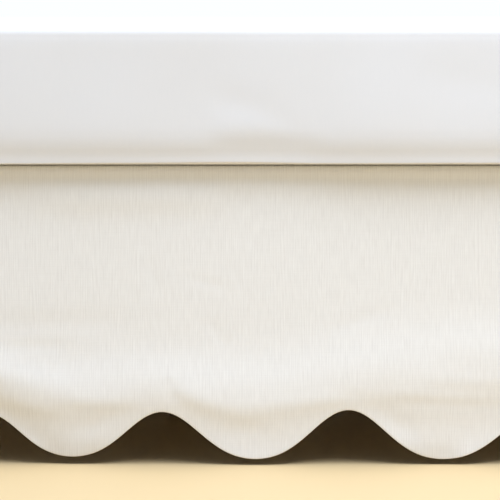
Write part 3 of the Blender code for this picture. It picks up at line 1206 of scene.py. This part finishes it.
@dataclass(frozen=True)
class ThreadNoise:
    """Noise over a cloth, drawn out along its warp or its weft.

    Attributes:
        scale: how fine it is, in waves to a metre.
        along_warp: how fine it is along the warp, as a share of that.
        across_warp: the same across the warp.
        detail: how many finer layers it has.
        share: how much it counts for.
    """

    scale: float
    along_warp: float
    across_warp: float = 1.0
    detail: float = 1.0
    share: float = 1.0

    def level(self, desk: NodeDesk, place: bpy.types.NodeSocket) -> bpy.types.NodeSocket:
        """Reads the noise at a place on the cloth."""
        drawn_out = desk.scaled(place, (self.across_warp, self.along_warp, 1.0))
        return desk.noise(drawn_out, self.scale, self.detail)


# How far a warp thread wanders sideways: its share is in metres
WARP_WANDER = ThreadNoise(scale=55.0, along_warp=0.08, share=0.012)
# How high the two runs of threads stand, beside the yarn's unevenness
THREAD_SHARE = 0.08
# The unevenness of the yarn: single warp threads, longer slubs, and the fainter weft
YARN_LAYERS = (
    ThreadNoise(scale=600.0, along_warp=0.080, share=0.46),
    ThreadNoise(scale=330.0, along_warp=0.095, detail=2.5, share=0.36),
    ThreadNoise(scale=560.0, along_warp=1.0, across_warp=0.045, detail=2.0, share=0.18),
)
# The patches in which single warp threads show, as painted light on their crowns and painted shade in the
# grooves between them
RIB_SHADE_PATCHES = ThreadNoise(scale=70.0, along_warp=0.60)


def woven_group() -> bpy.types.NodeTree:
    """The shared weave: crossing threads with slubs, in the cloth's own metres.

    Height is a little of two sines, one for each run of threads, plus the slubs. The warp's sine
    wanders sideways with a slow noise. Shade is the unevenness of the yarn, which is noise drawn
    out along the warp, both coarse and fine, and a fainter noise drawn out along the weft, plus
    the warp's sine as painted light on the threads' crowns and painted shade in the grooves between them, in
    patches set by a noise.

    Returns:
        The node group, built once.
    """
    name = "woven threads"
    if name in bpy.data.node_groups:
        return bpy.data.node_groups[name]
    tree = bpy.data.node_groups.new(name, "ShaderNodeTree")
    face = tree.interface
    face.new_socket(name="Place", in_out="INPUT", socket_type="NodeSocketVector")
    for key in ("Threads", "Slub", "Rib"):
        face.new_socket(name=key, in_out="INPUT", socket_type="NodeSocketFloat")
    for key in ("Height", "Shade"):
        face.new_socket(name=key, in_out="OUTPUT", socket_type="NodeSocketFloat")
    desk = NodeDesk(tree)
    entry, leave = desk.add("NodeGroupInput"), desk.add("NodeGroupOutput")
    place, threads, slub, rib_shade = (entry.outputs[key] for key in ("Place", "Threads", "Slub", "Rib"))
    split = desk.add("ShaderNodeSeparateXYZ")
    desk.feed(split.inputs[0], place)
    turns = desk.math("MULTIPLY", threads, math.pi)
    wander = WARP_WANDER.level(desk, place)
    strand = desk.math("MULTIPLY_ADD", wander, WARP_WANDER.share, split.outputs["X"])
    warp = desk.math("SINE", desk.math("MULTIPLY", strand, turns))
    weft = desk.math("SINE", desk.math("MULTIPLY", split.outputs["Y"], turns))
    cross = desk.math("MULTIPLY_ADD", desk.math("ADD", warp, weft), THREAD_SHARE, 0.5)
    yarn = 0.0
    for layer in YARN_LAYERS:
        yarn = desk.math("MULTIPLY_ADD", layer.level(desk, place), layer.share, yarn)
    uneven = desk.math("SUBTRACT", yarn, 0.5)
    desk.feed(leave.inputs["Height"], desk.math("MULTIPLY_ADD", uneven, slub, cross))
    # Where ribs show, the warp's sine paints shade in the grooves between threads and light on their crowns
    rib_shade_share = desk.math("MULTIPLY", RIB_SHADE_PATCHES.level(desk, place), rib_shade)
    shade = desk.math("MULTIPLY_ADD", uneven, slub, desk.math("MULTIPLY_ADD", warp, rib_shade_share, 0.5))
    desk.feed(leave.inputs["Shade"], desk.math("MINIMUM", desk.math("MAXIMUM", shade, 0.0), 1.0))
    return tree


@dataclass(frozen=True)
class WovenFinish:
    """A woven cloth.

    Attributes:
        name: the material's name.
        dark: its colour on the thin yarns, and where ribs show, painted shade in the grooves between warp
            threads.
        light: its colour on the thick yarns, and where ribs show, painted light on the warp threads' crowns.
        threads: threads in a metre.
        slub: how uneven the yarns are.
        rib_shade: how strongly single warp threads show, as painted light on their crowns and painted shade
            in the grooves between them.
        relief: how high the threads stand, in metres.
        roughness: the shader's roughness.
        sheen: the shader's sheen weight.
        gloss: the shader's specular level.
    """

    name: str
    dark: tuple[float, float, float, float]
    light: tuple[float, float, float, float]
    threads: float
    slub: float
    rib_shade: float
    relief: float
    roughness: float
    sheen: float
    gloss: float = 0.25

    def material(self) -> bpy.types.Material:
        """Makes the finish, with a weave that follows the cloth's own map.

        Returns:
            The material.
        """
        material = bpy.data.materials.new(self.name)
        material.use_nodes = True
        desk = NodeDesk(material.node_tree)
        shader = material.node_tree.nodes["Principled BSDF"]
        place = desk.add("ShaderNodeUVMap", uv_map=CLOTH_UV)
        weave = desk.add("ShaderNodeGroup", node_tree=woven_group())
        desk.feed(weave.inputs["Place"], place.outputs[0])
        weave.inputs["Threads"].default_value = self.threads
        weave.inputs["Slub"].default_value = self.slub
        weave.inputs["Rib"].default_value = self.rib_shade
        desk.feed(shader.inputs["Base Color"], desk.blend(weave.outputs["Shade"], self.dark, self.light))
        bump = desk.add("ShaderNodeBump")
        bump.inputs["Distance"].default_value = self.relief
        desk.feed(bump.inputs["Height"], weave.outputs["Height"])
        desk.feed(shader.inputs["Normal"], bump.outputs[0])
        shader.inputs["Roughness"].default_value = self.roughness
        shader.inputs["Sheen Weight"].default_value = self.sheen
        shader.inputs["Specular IOR Level"].default_value = self.gloss
        return material


@dataclass(frozen=True)
class WoodFinish:
    """Stained wood with its grain running up the piece.

    Attributes:
        name: the material's name.
        dark: its colour in the grain.
        light: its colour between.
        grain: how fine the grain is, in waves to a metre.
        roughness: the shader's roughness.
        relief: how high the grain stands, in metres.
        streak_draw: how fine the streaks are along the piece, as a share of the grain.
        pore_draw: the same for the pores, as a share of their own fineness.
        pore_fineness: how many times finer the pores are than the streaks.
        pore_share: how much of the grain is pores.
        dark_level: the level of the grain that takes the dark colour.
        light_level: the level that takes the light one.
    """

    name: str
    dark: tuple[float, float, float, float]
    light: tuple[float, float, float, float]
    grain: float
    roughness: float
    relief: float = 0.0002
    streak_draw: float = 0.06
    pore_draw: float = 0.03
    pore_fineness: float = 5.0
    pore_share: float = 0.35
    dark_level: float = 0.32
    light_level: float = 0.66

    def material(self) -> bpy.types.Material:
        """Makes the finish: streaks and finer pores, both noise drawn out along the height.

        Their mix gives the colour, dark where it is low, and the relief.

        Returns:
            The material.
        """
        material = bpy.data.materials.new(self.name)
        material.use_nodes = True
        desk = NodeDesk(material.node_tree)
        shader = material.node_tree.nodes["Principled BSDF"]
        place = desk.add("ShaderNodeTexCoord").outputs["Object"]
        streak = desk.noise(desk.scaled(place, (1.0, 1.0, self.streak_draw)), self.grain, detail=4.0)
        pore_place = desk.scaled(place, (1.0, 1.0, self.pore_draw))
        pores = desk.noise(pore_place, self.grain * self.pore_fineness, detail=2.0)
        level = desk.math("MULTIPLY", streak, 1 - self.pore_share)
        level = desk.math("MULTIPLY_ADD", pores, self.pore_share, level)
        spread = desk.add("ShaderNodeMapRange")
        desk.feed(spread.inputs["Value"], level)
        spread.inputs["From Min"].default_value = self.dark_level
        spread.inputs["From Max"].default_value = self.light_level
        desk.feed(shader.inputs["Base Color"], desk.blend(spread.outputs[0], self.dark, self.light))
        bump = desk.add("ShaderNodeBump")
        bump.inputs["Distance"].default_value = self.relief
        desk.feed(bump.inputs["Height"], level)
        desk.feed(shader.inputs["Normal"], bump.outputs[0])
        shader.inputs["Roughness"].default_value = self.roughness
        return material


LINEN = WovenFinish(
    name="ivory linen",
    dark=(0.810, 0.799, 0.782, 1.0),
    light=(0.906, 0.901, 0.884, 1.0),
    threads=700.0,
    slub=2.1,
    rib_shade=0.36,
    relief=0.00007,
    roughness=0.90,
    sheen=0.08,
)
COTTON = WovenFinish(
    name="white deck cotton",
    dark=(0.800, 0.790, 0.760, 1.0),
    light=(0.860, 0.850, 0.820, 1.0),
    threads=1900.0,
    slub=1.6,
    rib_shade=0.0,
    relief=0.00010,
    roughness=0.90,
    sheen=0.05,
)
PERCALE = WovenFinish(
    name="white percale",
    dark=(0.765, 0.762, 0.770, 1.0),
    light=(0.815, 0.812, 0.820, 1.0),
    threads=3200.0,
    slub=0.5,
    rib_shade=0.0,
    relief=0.00005,
    roughness=0.80,
    sheen=0.05,
)
TICKING = WovenFinish(
    name="oatmeal ticking",
    dark=(0.600, 0.570, 0.510, 1.0),
    light=(0.780, 0.750, 0.690, 1.0),
    threads=1000.0,
    slub=1.4,
    rib_shade=0.10,
    relief=0.00025,
    roughness=0.92,
    sheen=0.05,
)
LEG_WOOD = WoodFinish(
    name="stained beech",
    dark=(0.190, 0.105, 0.052, 1.0),
    light=(0.400, 0.250, 0.140, 1.0),
    grain=90.0,
    roughness=0.42,
)


@dataclass
class BedSkirt:
    """The skirt itself: the deck and its three drops."""

    drops: tuple[SkirtDrop, ...]
    deck: SkirtDeck

    def build(self) -> None:
        """Builds and dresses the cloth, and works out the size each drop was cut to."""
        linen = LINEN.material()
        for drop in self.drops:
            cloth = drop.build()
            dress(cloth, linen, drop.node)
            width, length, area = drop.cut()
        cotton = self.deck.build()
        dress(cotton, COTTON.material(), "skirt_deck")


@dataclass
class Bed:
    """The plain bed that the skirt is fitted on."""

    mattress: Mattress
    foundation: Foundation
    legs: tuple[Leg, ...]

    def build(self) -> None:
        """Builds and dresses the mattress, the foundation and the legs."""
        cover = self.mattress.build()
        dress(cover, PERCALE.material(), "mattress")
        base = self.foundation.build()
        dress(base, TICKING.material(), "bed_foundation")
        wood = LEG_WOOD.material()
        for leg in self.legs:
            dress(leg.build(), wood, leg.node)


@dataclass
class Studio:
    """A plain pale floor, soft light and the camera at the photograph's angle."""

    view_x: float = 0.1122
    view_height: float = 0.2713
    view_distance: float = 1.60
    seen_width: float = 0.6272
    floor_half: float = 40.0
    floor_colour: tuple[float, float, float, float] = (0.690, 0.512, 0.275, 1.0)
    floor_mottle: float = 1.05
    floor_patches: float = 3.0
    floor_roughness: float = 0.7
    sky_front: float = 0.47
    sky_back: float = 1.30
    sky_colour: tuple[float, float, float, float] = (0.755, 0.855, 1.0, 1.0)
    key_power: float = 118.0
    key_colour: tuple[float, float, float] = (0.790, 0.868, 1.0)
    key_size: float = 2.1
    key_aim: tuple[float, float, float] = (0.11, -0.48, 0.25)
    key_distance: float = 2.6
    key_height_turn: float = math.radians(68.0)
    key_side_turn: float = math.radians(40.0)

    def build_camera(self) -> None:
        """A level camera that looks along +Y, as wide at the skirt as the photograph."""
        skirt_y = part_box("skirt_drop_right")[0][1]
        lens = bpy.data.cameras.new("camera")
        lens.sensor_width = 36.0
        lens.lens = lens.sensor_width * self.view_distance / self.seen_width
        camera = bpy.data.objects.new("camera", lens)
        camera.location = (self.view_x, skirt_y - self.view_distance, self.view_height)
        camera.rotation_euler = (math.pi / 2, 0.0, 0.0)
        bpy.context.scene.collection.objects.link(camera)
        bpy.context.scene.camera = camera

    def build_floor(self) -> None:
        """A large plain floor at height 0."""
        reach = np.array([-self.floor_half, self.floor_half])
        x, y = np.meshgrid(reach, reach)
        points = np.stack([x, y, np.zeros_like(x)], axis=2)
        floor = add_mesh("floor", points, np.array([[0, 1, 3, 2]]))
        material = bpy.data.materials.new("pale floor")
        material.use_nodes = True
        desk = NodeDesk(material.node_tree)
        shader = material.node_tree.nodes["Principled BSDF"]
        place = desk.add("ShaderNodeTexCoord").outputs["Object"]
        mottle = desk.noise(place, self.floor_patches, detail=3.0)
        paler = tuple(min(1.0, self.floor_mottle * part) for part in self.floor_colour)
        desk.feed(shader.inputs["Base Color"], desk.blend(mottle, self.floor_colour, paler))
        shader.inputs["Roughness"].default_value = self.floor_roughness
        floor.data.materials.append(material)
        floor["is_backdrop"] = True

    def build_light(self) -> None:
        """Light from all round, brighter from behind, and a soft lamp high in front to the right."""
        world = bpy.data.worlds.new("studio")
        world.use_nodes = True
        desk = NodeDesk(world.node_tree)
        sky = world.node_tree.nodes["Background"]
        sky.inputs["Color"].default_value = self.sky_colour
        way = desk.add("ShaderNodeSeparateXYZ")
        desk.feed(way.inputs[0], desk.add("ShaderNodeTexCoord").outputs["Generated"])
        level = desk.add("ShaderNodeMapRange", interpolation_type="SMOOTHSTEP")
        desk.feed(level.inputs["Value"], way.outputs["Y"])
        level.inputs["To Min"].default_value = self.sky_front
        level.inputs["To Max"].default_value = self.sky_back
        desk.feed(sky.inputs["Strength"], level.outputs[0])
        bpy.context.scene.world = world
        lamp = bpy.data.lights.new("key", "AREA")
        lamp.energy = self.key_power
        lamp.color = self.key_colour
        lamp.size = self.key_size
        key = bpy.data.objects.new("key", lamp)
        away = self.key_distance * math.cos(self.key_height_turn)
        key.location = (
            self.key_aim[0] + away * math.sin(self.key_side_turn),
            self.key_aim[1] - away * math.cos(self.key_side_turn),
            self.key_aim[2] + self.key_distance * math.sin(self.key_height_turn),
        )
        key.rotation_euler = (math.pi / 2 - self.key_height_turn, 0.0, self.key_side_turn)
        bpy.context.scene.collection.objects.link(key)

    def build(self) -> None:
        """Builds the camera, the floor and the light."""
        self.build_camera()
        self.build_floor()
        self.build_light()
        bpy.context.scene.view_settings.view_transform = "Standard"


def corners() -> list[list[float]]:
    """The lowest and highest corner of what is shown, as plain lists."""
    return [list(corner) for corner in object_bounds()]


def main() -> None:
    """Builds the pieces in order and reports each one."""
    logging.basicConfig(level=logging.INFO, format="%(name)s %(message)s")
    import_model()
    Studio().build()
    skirt = BedSkirt(
        drops=(
            SkirtDrop(Side.RIGHT, lobes=8, creases=RIGHT_CREASES, course_shift=0.0),
            SkirtDrop(Side.LEFT, lobes=8, creases=LEFT_CREASES, course_shift=0.37),
            SkirtDrop(Side.FOOT, lobes=4, creases=FOOT_CREASES, course_shift=0.81),
        ),
        deck=SkirtDeck(),
    )
    skirt.build()
    places = ("head_left", "head_right", "foot_left", "foot_right", "middle")
    Bed(Mattress(), Foundation(), tuple(Leg(f"leg_{place}") for place in places)).build()


if __name__ == "__main__":
    main()
